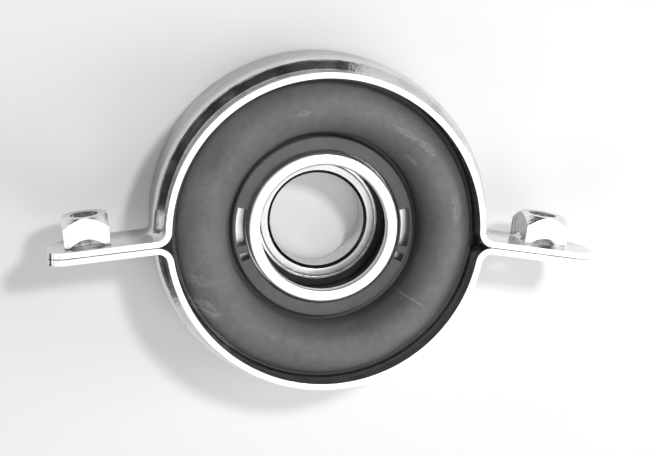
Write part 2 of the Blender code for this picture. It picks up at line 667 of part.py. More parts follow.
def build():
    """Build the whole bearing."""
    clear_scene()
    group = new_collection("driveshaft_centre_bearing")
    cutter_group = new_collection("cutters")

    zinc = new_material("zinc_plated_steel", (0.72, 0.73, 0.74), 1.0, 0.28)
    rubber = new_material("cushion_rubber", (0.050, 0.050, 0.052), 0.0, 0.62)
    bearing_steel = new_material("ground_bearing_steel", (0.62, 0.62, 0.63), 1.0, 0.22)
    seal_rubber = new_material("seal_rubber", (0.012, 0.012, 0.013), 0.0, 0.45)
    cage_plastic = new_material("cage_polyamide", (0.080, 0.060, 0.035), 0.0, 0.50)

    ear_cutters = make_bolt_cutters(cutter_group) + make_corner_cutters(cutter_group)
    make_strap("upper_strap", 1, group, ear_cutters, zinc)
    make_strap("lower_strap", -1, group, ear_cutters, zinc)
    for label, side in (("left", -1), ("right", 1)):
        make_nut(label + "_nut", side, NUT_TURN[label], group, cutter_group, zinc)
    make_cushion(group, cutter_group, rubber)
    make_sleeve(group, zinc)
    make_dust_cover(group, zinc)
    make_outer_race(group, bearing_steel)
    make_inner_race(group, bearing_steel)
    make_end_rings("front", BEARING_FRONT, -1, group, zinc, seal_rubber)
    make_end_rings("rear", BEARING_REAR, 1, group, zinc, seal_rubber)
    make_cage(group, cutter_group, cage_plastic)
    make_balls(group, bearing_steel)


build()
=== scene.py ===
"""A driveshaft centre bearing: a ball bearing in a rubber cushion, held by two plated straps.

Metres. Z is the shaft's axis, X runs from ear to ear, and +Y is the side with the weld nuts.
"""

import math

import bmesh
import bpy
from mathutils import Matrix, Vector


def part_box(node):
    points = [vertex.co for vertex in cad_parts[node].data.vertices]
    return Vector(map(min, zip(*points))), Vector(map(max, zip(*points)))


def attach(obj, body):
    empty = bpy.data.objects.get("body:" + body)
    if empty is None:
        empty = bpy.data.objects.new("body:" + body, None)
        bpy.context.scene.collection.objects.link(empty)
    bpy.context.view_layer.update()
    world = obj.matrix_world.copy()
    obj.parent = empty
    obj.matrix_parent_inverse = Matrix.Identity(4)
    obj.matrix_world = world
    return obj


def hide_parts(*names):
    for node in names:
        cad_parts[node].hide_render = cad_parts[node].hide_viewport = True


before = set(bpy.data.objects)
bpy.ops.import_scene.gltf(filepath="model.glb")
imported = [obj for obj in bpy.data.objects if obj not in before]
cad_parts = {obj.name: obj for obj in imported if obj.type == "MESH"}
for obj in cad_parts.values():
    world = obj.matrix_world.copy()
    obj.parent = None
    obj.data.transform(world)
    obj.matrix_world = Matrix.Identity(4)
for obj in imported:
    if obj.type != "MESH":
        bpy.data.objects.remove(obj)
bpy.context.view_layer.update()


# Table, light and camera
# The part lies on a white table. A small lamp at the upper right throws the shadows, panels fill
# them, and a black flag out of the camera's view gives the plated steel its dark reflections.
WHITE = (1.0, 1.0, 1.0, 1.0)
TABLE_SIZE = 3.0
TABLE_COLOUR = (0.90, 0.90, 0.90, 1.0)
TABLE_CLOUDED = (0.882, 0.882, 0.882, 1.0)
TABLE_ROUGHNESS = 0.9
TABLE_GLOW = 0.15
MATT_SPECULAR = 0.1
WORLD_LEVEL = 0.17
BACKDROP_LEVEL = 0.72
FLAG_COLOUR = (0.035, 0.035, 0.036, 1.0)
FLAG_ROUGHNESS = (0.85, 1.0)
FLAG_RADIUS = 0.75
FLAG_HEIGHTS = (0.02, 0.50)
FLAG_START = math.radians(70.0)
FLAG_SPREAD = math.radians(150.0)
FLAG_STEPS = 30
# Each noise pattern: its scale, its detail and, where it isn't 0.5, its roughness
TABLE_CLOUDS = (6.0, 3.0)
FELT_GRAIN = (300.0, 2.0)
# The middle part of a noise pattern's range, over which a finish varies
PATTERN_LOW = 0.3
PATTERN_HIGH = 0.7
# Each lamp: its direction, its distance, its size and its power
LAMPS = {"key_lamp": ((0.279, 0.421, 1.0), 0.9, 0.09, 2.9),
         "overhead_panel": ((0.155, -0.193, 0.969), 1.2, 0.60, 1.08),
         "right_panel": ((0.93, 0.0, 0.36), 0.9, 0.45, 3.2),
         "front_right_panel": ((0.47, -0.47, 0.74), 0.9, 0.45, 1.3),
         "front_left_panel": ((-0.47, -0.47, 0.74), 0.9, 0.45, 0.9)}
CAMERA_PLACE = Vector((-0.0802, 0.1001, 0.5309))
CAMERA_TARGET = Vector((0.0017, -0.0016, 0.0200))
CAMERA_ROLL = math.radians(-1.83)
CAMERA_LENS = 92.77
CAMERA_NEAR = 0.01
SENSOR_WIDTH = 36.0
SHARP_ANGLE = math.radians(32.0)


def add_node(tree, kind, inputs=None, **settings):
    """Add a shader node with its settings, and give each input its plain value or its link."""
    node = tree.nodes.new(kind)
    for key, value in settings.items():
        setattr(node, key, value)
    for key, value in (inputs or {}).items():
        if isinstance(value, bpy.types.NodeSocket):
            tree.links.new(value, node.inputs[key])
        else:
            node.inputs[key].default_value = value
    return node


def calculated(tree, operation, *terms):
    """Return the result of an operation on numbers and other nodes' results."""
    return add_node(tree, "ShaderNodeMath", dict(enumerate(terms)), operation=operation).outputs[0]


def noise(tree, place, scale, detail, roughness=0.5):
    """Return a noise pattern that stays fixed on its piece."""
    return add_node(tree, "ShaderNodeTexNoise", {"Vector": place, "Scale": scale, "Detail": detail,
                                                 "Roughness": roughness}).outputs["Fac"]


def between(tree, factor, low, high, result_low, result_high):
    """Return a number that runs between two results as the factor runs from low to high."""
    return add_node(tree, "ShaderNodeMapRange",
                    {"Value": factor, "From Min": low, "From Max": high,
                     "To Min": result_low, "To Max": result_high}).outputs["Result"]


def mixed_colour(tree, factor, dark, light, low=0.35, high=0.65):
    """Return a colour that runs from dark to light as the factor rises from low to high."""
    ramp = add_node(tree, "ShaderNodeValToRGB", {"Fac": factor})
    for stop, position, colour in zip(ramp.color_ramp.elements, (low, high), (dark, light)):
        stop.position = position
        stop.color = colour
    return ramp.outputs["Color"]


def shown_rays(tree):
    """Return 1 for the rays that the camera sees, also in a reflection, and 0 for the others."""
    path = add_node(tree, "ShaderNodeLightPath")
    return calculated(tree, "MAXIMUM", path.outputs["Is Camera Ray"], path.outputs["Is Glossy Ray"])


def new_material(name, metallic, specular=0.5):
    """Return a material, its node tree, its shader and the Object coordinates of its patterns."""
    material = bpy.data.materials.new(name)
    material.use_nodes = True
    tree = material.node_tree
    shader = tree.nodes["Principled BSDF"]
    shader.inputs["Metallic"].default_value = metallic
    shader.inputs["Specular IOR Level"].default_value = specular
    place = add_node(tree, "ShaderNodeTexCoord").outputs["Object"]
    return material, tree, shader, place


def new_piece(name, shape, material):
    """Turn a bmesh into a named, smoothly shaded object that stays at the origin."""
    mesh = bpy.data.meshes.new(name)
    shape.to_mesh(mesh)
    shape.free()
    mesh.materials.append(material)
    mesh.shade_smooth()
    mesh.set_sharp_from_angle(angle=SHARP_ANGLE)
    piece = bpy.data.objects.new(name, mesh)
    bpy.context.scene.collection.objects.link(piece)
    return piece


def turn_round(shape, corners, angle):
    """Turn some vertices about the Z axis."""
    bmesh.ops.rotate(shape, verts=corners, cent=(0.0, 0.0, 0.0), matrix=Matrix.Rotation(angle, 3, "Z"))


def sweep(shape, geometry, angle, steps, **settings):
    """Sweep part of a shape round the Z axis."""
    bmesh.ops.spin(shape, geom=geometry, cent=(0.0, 0.0, 0.0), axis=(0.0, 0.0, 1.0),
                   angle=angle, steps=steps, **settings)


def white_table():
    """White sheet with a barely visible cloudiness."""
    material, tree, shader, place = new_material("white_table", 0.0, MATT_SPECULAR)
    clouds = noise(tree, place, *TABLE_CLOUDS)
    paint = mixed_colour(tree, clouds, TABLE_CLOUDED, TABLE_COLOUR, 0.0, 1.0)
    glow = calculated(tree, "MULTIPLY", shown_rays(tree), TABLE_GLOW)
    tree.links.new(paint, shader.inputs["Base Color"])
    tree.links.new(glow, shader.inputs["Emission Strength"])
    shader.inputs["Emission Color"].default_value = WHITE
    shader.inputs["Roughness"].default_value = TABLE_ROUGHNESS
    return material


def black_felt():
    """Black felt with a fine grain."""
    material, tree, shader, place = new_material("black_flag", 0.0, MATT_SPECULAR)
    grain = noise(tree, place, *FELT_GRAIN)
    roughness = between(tree, grain, PATTERN_LOW, PATTERN_HIGH, *FLAG_ROUGHNESS)
    tree.links.new(roughness, shader.inputs["Roughness"])
    shader.inputs["Base Color"].default_value = FLAG_COLOUR
    return material


table_shape = bmesh.new()
bmesh.ops.create_grid(table_shape, x_segments=2, y_segments=2, size=TABLE_SIZE / 2)
new_piece("table", table_shape, white_table())

flag_shape = bmesh.new()
flag_edge = [flag_shape.verts.new((FLAG_RADIUS, 0.0, height)) for height in FLAG_HEIGHTS]
flag_shape.edges.new(flag_edge)
turn_round(flag_shape, flag_edge, FLAG_START)
sweep(flag_shape, flag_shape.verts[:] + flag_shape.edges[:], FLAG_SPREAD, FLAG_STEPS)
flag = new_piece("black_flag", flag_shape, black_felt())
flag.visible_camera = False
flag.visible_diffuse = False
flag.visible_shadow = False

world = bpy.data.worlds.new("studio")
bpy.context.scene.world = world
world.use_nodes = True
backdrop = world.node_tree.nodes["Background"]
backdrop.inputs["Color"].default_value = WHITE
seen = shown_rays(world.node_tree)
level = between(world.node_tree, seen, 0.0, 1.0, WORLD_LEVEL, BACKDROP_LEVEL)
world.node_tree.links.new(level, backdrop.inputs["Strength"])

for label, (direction, distance, size, power) in LAMPS.items():
    lamp = bpy.data.lights.new(label, "AREA")
    lamp.size = size
    lamp.energy = power
    light = bpy.data.objects.new(label, lamp)
    light.location = Vector(direction).normalized() * distance
    light.rotation_euler = light.location.to_track_quat("Z", "Y").to_euler()
    bpy.context.scene.collection.objects.link(light)

camera_data = bpy.data.cameras.new("camera")
camera_data.lens = CAMERA_LENS
camera_data.sensor_width = SENSOR_WIDTH
camera_data.clip_start = CAMERA_NEAR
camera = bpy.data.objects.new("camera", camera_data)
back = (CAMERA_PLACE - CAMERA_TARGET).normalized()
right = Vector((math.sin(CAMERA_ROLL), math.cos(CAMERA_ROLL), 0.0)).cross(back).normalized()
turning = Matrix((right, back.cross(right), back)).transposed().to_4x4()
camera.matrix_world = Matrix.Translation(CAMERA_PLACE) @ turning
bpy.context.scene.collection.objects.link(camera)
bpy.context.scene.camera = camera
bpy.context.scene.view_settings.view_transform = "Standard"


# Ball bearing races
# Two rings of hardened bearing steel, turned, then ground on their faces and in the bore.
# The grinding leaves fine rings round the shaft's axis, and the bore's edges are chamfered.
BORE_RADIUS = 0.0150
RACE_CHAMFER = 0.0010
RACE_CORNER = 0.00018
SEAL_SEAT_DEPTH = 0.0016
SEAL_SEAT_STEP = 0.0014
RACE_END_STEP = 0.0009
BALL_RADIUS = 0.003572
LAND_SHARE = 0.63
RUNNING_GAP = 0.0003
SEAT_GAP = 0.0003
RACE_STEPS = 144
GROOVE_STEPS = 18
CORNER_SEGMENTS = 3
TURNED_CORNER = math.radians(30.0)
MERGE_DISTANCE = 0.000002
RING_ROUGHNESS = 0.7
GRINDING_RINGS = (9000.0, 4.0)
OIL_FILM = (180.0, 5.0)
GROUND_COLOUR = (0.74, 0.74, 0.75, 1.0)
GROUND_DARK = (0.48, 0.48, 0.49, 1.0)
GROUND_ROUGHNESS = (0.20, 0.34)
GRINDING_DEPTH = 0.00002
SCALE_COLOUR = (0.030, 0.030, 0.031, 1.0)
CHAMFER_EDGE = 0.00004

outer_low, outer_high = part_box("outer_race")
bearing_radius = outer_high.x
bearing_rear = outer_low.z
bearing_front = outer_high.z
bearing_middle = (bearing_rear + bearing_front) / 2
pitch_radius = (BORE_RADIUS + bearing_radius) / 2
race_land = LAND_SHARE * BALL_RADIUS
outer_land = pitch_radius + race_land
inner_land = pitch_radius - race_land
seal_seat_radius = outer_land + SEAL_SEAT_STEP
race_end_radius = inner_land - RACE_END_STEP


def arc(centre, radius, start, end, steps):
    """Return points of an arc in the plane of radius and height, with its angles in degrees."""
    points = []
    for step in range(steps + 1):
        angle = math.radians(start + (end - start) * step / steps)
        points.append((centre[0] + radius * math.cos(angle), centre[1] + radius * math.sin(angle)))
    return points


def turned_shape(outline, corner, steps):
    """Turn a closed outline of radius and height about the shaft's axis, its sharp corners eased."""
    shape = bmesh.new()
    corners = [shape.verts.new((radius, 0.0, height)) for radius, height in outline]
    for first, second in zip(corners, corners[1:] + corners[:1]):
        shape.edges.new((first, second))
    sharp = [vertex for vertex in corners if vertex.calc_edge_angle() > TURNED_CORNER]
    bmesh.ops.bevel(shape, geom=sharp, offset=corner, offset_type="OFFSET", affect="VERTICES",
                    segments=CORNER_SEGMENTS, profile=0.5, material=-1)
    sweep(shape, shape.verts[:] + shape.edges[:], 2 * math.pi, steps, use_merge=True)
    bmesh.ops.remove_doubles(shape, verts=shape.verts, dist=MERGE_DISTANCE)
    bmesh.ops.recalc_face_normals(shape, faces=shape.faces)
    return shape


def shade_evenly(piece):
    """Let the large flat faces keep their own shade beside the small rounded edges."""
    even = piece.modifiers.new("even shading", "WEIGHTED_NORMAL")
    even.keep_sharp = True


def turned_ring(name, outline, corner, steps, material):
    """Return a finished ring, turned from its outline."""
    ring = new_piece(name, turned_shape(outline, corner, steps), material)
    shade_evenly(ring)
    return ring


def flattened(tree, place):
    """Return coordinates without their height."""
    return add_node(tree, "ShaderNodeVectorMath", {0: place, 1: (1.0, 1.0, 0.0)},
                    operation="MULTIPLY").outputs[0]


def axis_distance(tree, place):
    """Return the distance from the shaft's axis."""
    return add_node(tree, "ShaderNodeVectorMath", {0: flattened(tree, place)},
                    operation="LENGTH").outputs["Value"]


def ring_pattern(tree, place, scale, detail):
    """Return fine rings round the shaft's axis, as a lathe or a grinding wheel leaves them."""
    return add_node(tree, "ShaderNodeTexNoise",
                    {"W": axis_distance(tree, place), "Scale": scale, "Detail": detail,
                     "Roughness": RING_ROUGHNESS}, noise_dimensions="1D").outputs["Fac"]


def covered(tree, share, under, over):
    """Return a colour that another one covers where the share rises to 1."""
    return add_node(tree, "ShaderNodeMix", {"Factor": share, "A": under, "B": over},
                    data_type="RGBA").outputs["Result"]


def finish(tree, shader, colour, sheen, roughness, relief, depth, strength=0.5):
    """Give a surface its colour, a sheen that varies with one pattern and a relief from another."""
    tree.links.new(colour, shader.inputs["Base Color"])
    varied = between(tree, sheen, PATTERN_LOW, PATTERN_HIGH, *roughness)
    tree.links.new(varied, shader.inputs["Roughness"])
    bump = add_node(tree, "ShaderNodeBump", {"Height": relief, "Distance": depth, "Strength": strength})
    tree.links.new(bump.outputs["Normal"], shader.inputs["Normal"])


def ground_steel():
    """Ground bearing steel: fine rings, a faint oil film, and hardening scale on the bore's chamfers."""
    material, tree, shader, place = new_material("ground_bearing_steel", 1.0)
    rings = ring_pattern(tree, place, *GRINDING_RINGS)
    film = noise(tree, place, *OIL_FILM)
    bright = mixed_colour(tree, rings, GROUND_DARK, GROUND_COLOUR)
    chamfer = calculated(tree, "COMPARE", axis_distance(tree, place),
                         BORE_RADIUS + RACE_CHAMFER / 2, RACE_CHAMFER / 2 - CHAMFER_EDGE)
    colour = covered(tree, chamfer, bright, SCALE_COLOUR)
    finish(tree, shader, colour, film, GROUND_ROUGHNESS, rings, GRINDING_DEPTH)
    return material


def race_groove(land, side):
    """Return a race's ball groove from front to rear, for side 1 (outer race) or -1 (inner race)."""
    groove = BALL_RADIUS + RUNNING_GAP
    half = math.degrees(math.acos((land - pitch_radius) * side / groove))
    if side > 0:
        return arc((pitch_radius, bearing_middle), groove, half, -half, GROOVE_STEPS)
    return arc((pitch_radius, bearing_middle), groove, 180 - half, 180 + half, GROOVE_STEPS)


ground = ground_steel()
outer_edge = RACE_CHAMFER / 2
outer_outline = [(bearing_radius - outer_edge, bearing_front), (bearing_radius, bearing_front - outer_edge),
                 (bearing_radius, bearing_rear + outer_edge), (bearing_radius - outer_edge, bearing_rear),
                 (seal_seat_radius, bearing_rear), (seal_seat_radius, bearing_rear + SEAL_SEAT_DEPTH),
                 (outer_land, bearing_rear + SEAL_SEAT_DEPTH)]
outer_outline += reversed(race_groove(outer_land, 1))
outer_outline += [(outer_land, bearing_front - SEAL_SEAT_DEPTH),
                  (seal_seat_radius, bearing_front - SEAL_SEAT_DEPTH), (seal_seat_radius, bearing_front)]
outer_race = turned_ring("outer_race_ring", outer_outline, RACE_CORNER, RACE_STEPS, ground)
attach(outer_race, "housing")
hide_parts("outer_race")

flinger_low, flinger_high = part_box("front_flinger")
race_step = flinger_high.z - flinger_low.z + SEAT_GAP
inner_outline = [(race_end_radius, bearing_front), (race_end_radius, bearing_front - race_step),
                 (inner_land, bearing_front - race_step)]
inner_outline += race_groove(inner_land, -1)
inner_outline += [(inner_land, bearing_rear + race_step), (race_end_radius, bearing_rear + race_step),
                  (race_end_radius, bearing_rear), (BORE_RADIUS + RACE_CHAMFER, bearing_rear),
                  (BORE_RADIUS, bearing_rear + RACE_CHAMFER), (BORE_RADIUS, bearing_front - RACE_CHAMFER),
                  (BORE_RADIUS + RACE_CHAMFER, bearing_front)]
inner_race = turned_ring("inner_race_ring", inner_outline, RACE_CORNER, RACE_STEPS, ground)
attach(inner_race, "inner_ring")
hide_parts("inner_race")


# Balls and cage
# Eleven lapped steel balls sit in the pockets of a moulded polyamide crown cage.
# Both are hidden behind the seals, and they turn with the cage at less than half the shaft's speed.
BALL_COUNT = 11
BALL_SEGMENTS = 40
CAGE_STEPS = 176
POCKET_STEPS = 48
LAPPING_HAZE = (400.0, 4.0)
LAPPED_REACH = (0.2, 0.5)
LAPPED_ROUGHNESS = (0.06, 0.12)
LAPPING_DEPTH = 0.000004
CAGE_COLOUR = (0.080, 0.060, 0.035, 1.0)
CAGE_PALE = (0.120, 0.092, 0.056, 1.0)
CAGE_GRAIN = (1500.0, 4.0)
CAGE_ROUGHNESS = (0.42, 0.60)
CAGE_GRAIN_DEPTH = 0.00003


def lapped_steel():
    """Lapped ball steel, close to a mirror."""
    material, tree, shader, place = new_material("lapped_ball_steel", 1.0)
    haze = noise(tree, place, *LAPPING_HAZE)
    colour = mixed_colour(tree, haze, GROUND_DARK, GROUND_COLOUR, *LAPPED_REACH)
    finish(tree, shader, colour, haze, LAPPED_ROUGHNESS, haze, LAPPING_DEPTH)
    return material


def moulded_polyamide():
    """Glass filled polyamide with a faint grain."""
    material, tree, shader, place = new_material("cage_polyamide", 0.0)
    grain = noise(tree, place, *CAGE_GRAIN)
    colour = mixed_colour(tree, grain, CAGE_COLOUR, CAGE_PALE)
    finish(tree, shader, colour, grain, CAGE_ROUGHNESS, grain, CAGE_GRAIN_DEPTH)
    return material


def settle(piece):
    """Apply a piece's modifiers to its mesh."""
    bpy.context.view_layer.update()
    evaluated = piece.evaluated_get(bpy.context.evaluated_depsgraph_get())
    finished = bpy.data.meshes.new_from_object(evaluated)
    piece.modifiers.clear()
    piece.data = finished


def subtract(piece, cutters):
    """Cut one piece with some others, which are then removed."""
    for cutter in cutters:
        boolean = piece.modifiers.new("cut", "BOOLEAN")
        boolean.solver = "EXACT"
        boolean.object = cutter
    settle(piece)
    for cutter in cutters:
        bpy.data.objects.remove(cutter)


lapped = lapped_steel()
polyamide = moulded_polyamide()
ball_angles = [2 * math.pi * number / BALL_COUNT for number in range(BALL_COUNT)]
ball_spots = [Matrix.Translation((pitch_radius * math.cos(angle), pitch_radius * math.sin(angle),
                                  bearing_middle)) for angle in ball_angles]
for number, spot in enumerate(ball_spots, 1):
    ball_shape = bmesh.new()
    bmesh.ops.create_uvsphere(ball_shape, u_segments=BALL_SEGMENTS, v_segments=BALL_SEGMENTS // 2,
                              radius=BALL_RADIUS, matrix=spot)
    ball = new_piece("lapped_ball_%02d" % number, ball_shape, lapped)
    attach(ball, "cage")
    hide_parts("ball_%02d" % number)

cage_low, cage_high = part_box("ball_cage")
cage_width = 2 * (cage_high.x - pitch_radius)
cage_outline = [(cage_high.x, cage_high.z), (cage_high.x, cage_low.z),
                (cage_high.x - cage_width, cage_low.z), (cage_high.x - cage_width, cage_high.z)]
cage = new_piece("crown_cage", turned_shape(cage_outline, RACE_CORNER, CAGE_STEPS), polyamide)
pocket = BALL_RADIUS + RUNNING_GAP
pockets = bmesh.new()
for angle, spot in zip(ball_angles, ball_spots):
    outwards = Matrix.Rotation(angle, 4, "Z") @ Matrix.Rotation(math.pi / 2, 4, "Y")
    bmesh.ops.create_cone(pockets, cap_ends=True, segments=POCKET_STEPS, radius1=pocket,
                          radius2=pocket, depth=2 * cage_width, matrix=spot @ outwards)
subtract(cage, [new_piece("pocket_cutter", pockets, polyamide)])
shade_evenly(cage)
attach(cage, "cage")
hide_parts("ball_cage")


# Seals
# A ring of black nitrile rubber closes the bearing at each end, pressed into the outer race.
# A raised bead runs round it, and its lip all but touches the steel ring on the inner race.
SEAL_BEAD = 0.00035
SEAL_CORNER = 0.00012
SEAL_COLOUR = (0.010, 0.010, 0.011, 1.0)
SEAL_PALE = (0.022, 0.022, 0.023, 1.0)
SEAL_GRAIN = (1200.0, 5.0)
SEAL_ROUGHNESS = (0.38, 0.55)
SEAL_GRAIN_DEPTH = 0.00004


def seal_nitrile():
    """Black moulded nitrile with a fine grain."""
    material, tree, shader, place = new_material("seal_rubber", 0.0)
    grain = noise(tree, place, *SEAL_GRAIN)
    colour = mixed_colour(tree, grain, SEAL_COLOUR, SEAL_PALE)
    finish(tree, shader, colour, grain, SEAL_ROUGHNESS, grain, SEAL_GRAIN_DEPTH)
    return material


nitrile = seal_nitrile()
seal_inner = flinger_high.x + RUNNING_GAP
for label, facing in (("front", 1), ("rear", -1)):
    low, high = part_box(label + "_seal")
    outside = high.z if facing > 0 else low.z
    inside = low.z if facing > 0 else high.z
    dip = outside - facing * SEAL_BEAD
    bead_middle = (seal_inner + high.x) / 2
    outline = [(high.x, outside), (high.x, inside), (seal_inner, inside), (seal_inner, outside),
               (bead_middle - 2 * SEAL_BEAD, outside), (bead_middle - SEAL_BEAD, dip),
               (bead_middle + SEAL_BEAD, dip), (bead_middle + 2 * SEAL_BEAD, outside)]
    seal = turned_ring(label + "_seal_ring", outline, SEAL_CORNER, RACE_STEPS, nitrile)
    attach(seal, "housing")
    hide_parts(label + "_seal")


# Flingers
# A thin ring of plated steel is pressed on each end of the inner race and turns with it.
# It throws off water before it reaches the seal's lip.
FLINGER_CORNER = 0.00012
PLATED_COLOUR = (0.88, 0.88, 0.89, 1.0)
PLATED_DARK = (0.72, 0.72, 0.74, 1.0)
PLATED_CLOUDS = (160.0, 6.0)
PLATED_PITS = (1440.0, 3.0, 0.6)
PLATED_REACH = (0.25, 0.55)
PLATED_ROUGHNESS = (0.16, 0.30)
PIT_DEPTH = 0.00003


def plated_steel():
    """Bright zinc plating on steel: a soft cloudiness and tiny pits."""
    material, tree, shader, place = new_material("zinc_plated_small_parts", 1.0)
    clouds = noise(tree, place, *PLATED_CLOUDS)
    pits = noise(tree, place, *PLATED_PITS)
    colour = mixed_colour(tree, clouds, PLATED_DARK, PLATED_COLOUR, *PLATED_REACH)
    finish(tree, shader, colour, clouds, PLATED_ROUGHNESS, pits, PIT_DEPTH)
    return material


plated = plated_steel()
race_end_fit = race_end_radius + SEAT_GAP
for label in ("front", "rear"):
    low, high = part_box(label + "_flinger")
    outline = [(high.x, high.z), (high.x, low.z), (race_end_fit, low.z), (race_end_fit, high.z)]
    flinger = turned_ring(label + "_flinger_ring", outline, FLINGER_CORNER, RACE_STEPS, plated)
    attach(flinger, "inner_ring")
    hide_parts(label + "_flinger")


# Bearing sleeve
# A drawn steel tube holds the bearing, and a lip at its rear end stops the outer race.
# The rubber is bonded to its outside.
SLEEVE_LIP_REACH = 0.0030
SLEEVE_LIP_THICKNESS = 0.0012
SLEEVE_EDGE = 0.0006
PRESSED_CORNER = 0.0003

sleeve_low, sleeve_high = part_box("bearing_sleeve")
sleeve_bore = bearing_radius + SEAT_GAP
lip_reach_radius = sleeve_bore - SLEEVE_LIP_REACH
sleeve_outline = [(sleeve_high.x, sleeve_high.z), (sleeve_high.x, sleeve_low.z + SLEEVE_EDGE),
                  (sleeve_high.x - SLEEVE_EDGE, sleeve_low.z), (lip_reach_radius, sleeve_low.z),
                  (lip_reach_radius, SLEEVE_LIP_THICKNESS), (sleeve_bore, SLEEVE_LIP_THICKNESS),
                  (sleeve_bore, sleeve_high.z)]
sleeve = turned_ring("drawn_bearing_sleeve", sleeve_outline, PRESSED_CORNER, RACE_STEPS, plated)
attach(sleeve, "housing")
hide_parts("bearing_sleeve")


# Front dust cover
# A pressed steel cup: its skirt sits in the sleeve, and its mouth is rolled in round the shaft.
# The flat front is the brightest ring in the part, and faint turning marks run round it.
COVER_WALL = 0.0012
COVER_NECK_RADIUS = 0.0235
COVER_MOUTH_RADIUS = 0.0197
COVER_LIP_LENGTH = 0.0025
COVER_ROLL = 0.0009
COVER_STEPS = 192
ROLL_STEPS = 6
TURNING_MARKS = (5000.0, 3.0)
TURNING_DEPTH = 0.00001
COVER_CLOUDS = (120.0, 5.0)
COVER_REACH = (0.15, 0.40)
COVER_ROUGHNESS = (0.30, 0.42)

cover_low, cover_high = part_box("front_dust_cover")
flange_bottom = sleeve_high.z + SEAT_GAP
flange_top = flange_bottom + COVER_WALL
shoulder_bottom = flange_bottom - COVER_WALL / 2
skirt_radius = sleeve_bore - SEAT_GAP
skirt_wall = skirt_radius - COVER_WALL
neck_wall = COVER_NECK_RADIUS - COVER_WALL
mouth_wall = COVER_MOUTH_RADIUS + COVER_WALL
front_wall = cover_high.z - COVER_WALL
mouth_end = cover_high.z - COVER_LIP_LENGTH
roll_height = cover_high.z - COVER_ROLL
cover_outline = arc((COVER_NECK_RADIUS - COVER_ROLL, roll_height), COVER_ROLL, 90, 0, ROLL_STEPS)
cover_outline += [(COVER_NECK_RADIUS, flange_top), (sleeve_high.x, flange_top),
                  (sleeve_high.x, flange_bottom), (skirt_radius, flange_bottom),
                  (skirt_radius, cover_low.z), (skirt_wall, cover_low.z), (skirt_wall, shoulder_bottom),
                  (neck_wall, shoulder_bottom), (neck_wall, front_wall), (mouth_wall, front_wall),
                  (mouth_wall, mouth_end), (COVER_MOUTH_RADIUS, mouth_end)]
cover_outline += arc((COVER_MOUTH_RADIUS + COVER_ROLL, roll_height), COVER_ROLL, 180, 90, ROLL_STEPS)


def pressed_cover_steel():
    """Plated steel with faint turning marks round the shaft's axis."""
    material, tree, shader, place = new_material("zinc_plated_cover", 1.0)
    marks = ring_pattern(tree, place, *TURNING_MARKS)
    clouds = noise(tree, place, *COVER_CLOUDS)
    colour = mixed_colour(tree, clouds, PLATED_DARK, PLATED_COLOUR, *COVER_REACH)
    finish(tree, shader, colour, clouds, COVER_ROUGHNESS, marks, TURNING_DEPTH)
    return material


cover = turned_ring("pressed_dust_cover", cover_outline, PRESSED_CORNER / 2, COVER_STEPS,
                    pressed_cover_steel())
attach(cover, "housing")
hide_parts("front_dust_cover")


# Rubber cushion
# One moulding of natural rubber: a collar in the straps, a rounded fold and a lip round the cover.
# It is cured onto the sleeve, and the mould's pins leave two windows and two notches in the lip.
CUSHION_WALL = 0.0046
CUSHION_COLLAR_WALL = 0.0050
CUSHION_INNER_WALL = 0.0042
CUSHION_REAR_STEP = 0.0015
CUSHION_DRAFT = 0.0006
CREST_DROP = 0.0015
CUSHION_EDGE_GAP = 0.0012
CUSHION_EDGE_SEAT = 0.0010
LIP_SETBACK = 0.0009
LIP_HEIGHT = 0.0048
LIP_ROUND = 0.0007
GROOVE_WIDTH = 0.0019
GROOVE_DEPTH = 0.0030
GROOVE_DRAFT = 0.0004
CUSHION_STEPS = 240
FOLD_STEPS = 48
WINDOW_ANGLE = math.radians(26.0)
WINDOW_STRIP = 0.0005
WINDOW_RIM = 0.0011
WINDOW_STEPS = 26
NOTCH_ANGLE = math.radians(5.0)
NOTCH_OFFSET = math.radians(21.0)
NOTCH_STEPS = 6
CUT_MARGIN = 0.0010
STRAP_FRONT_RADIUS = 0.0475
STRAP_JOGGLE = 0.0035
FRONT_BAND = 0.0100
JOGGLE_LENGTH = 0.0040
RUBBER_SPECULAR = 0.35
RUBBER_COLOUR = (0.125, 0.125, 0.127, 1.0)
RUBBER_PALE = (0.215, 0.215, 0.218, 1.0)
RUBBER_SCUFF_AND_HIGHLIGHT = (0.420, 0.420, 0.420, 1.0)
RUBBER_REACH = (0.34, 0.66)
RUBBER_ROUGHNESS = (0.46, 0.66)
RUBBER_DEPTH = 0.00004
FLOW_MARKS = (55.0, 7.0, 0.62)
RUBBER_GRAIN = (1400.0, 4.0)
MOULD_RINGS = (1600.0, 3.0)
DUST = (420.0, 6.0, 0.7)
DUST_SHARE = 0.45
# Painted shade on the fold's flanks: its colour, its strength, and how far the lit crest sits outside the
# fold's middle
PAINTED_FLANK_SHADE_COLOUR = (0.060, 0.060, 0.061, 1.0)
PAINTED_FLANK_SHADE_SHARE = 0.36
CREST_SHIFT = 0.0008
SCUFF_AND_HIGHLIGHT_EDGE = 0.45
SCUFF_AND_HIGHLIGHT_STREAKS = (2.4, 8.0, 0.75)
STREAK_REACH = (0.42, 0.62)
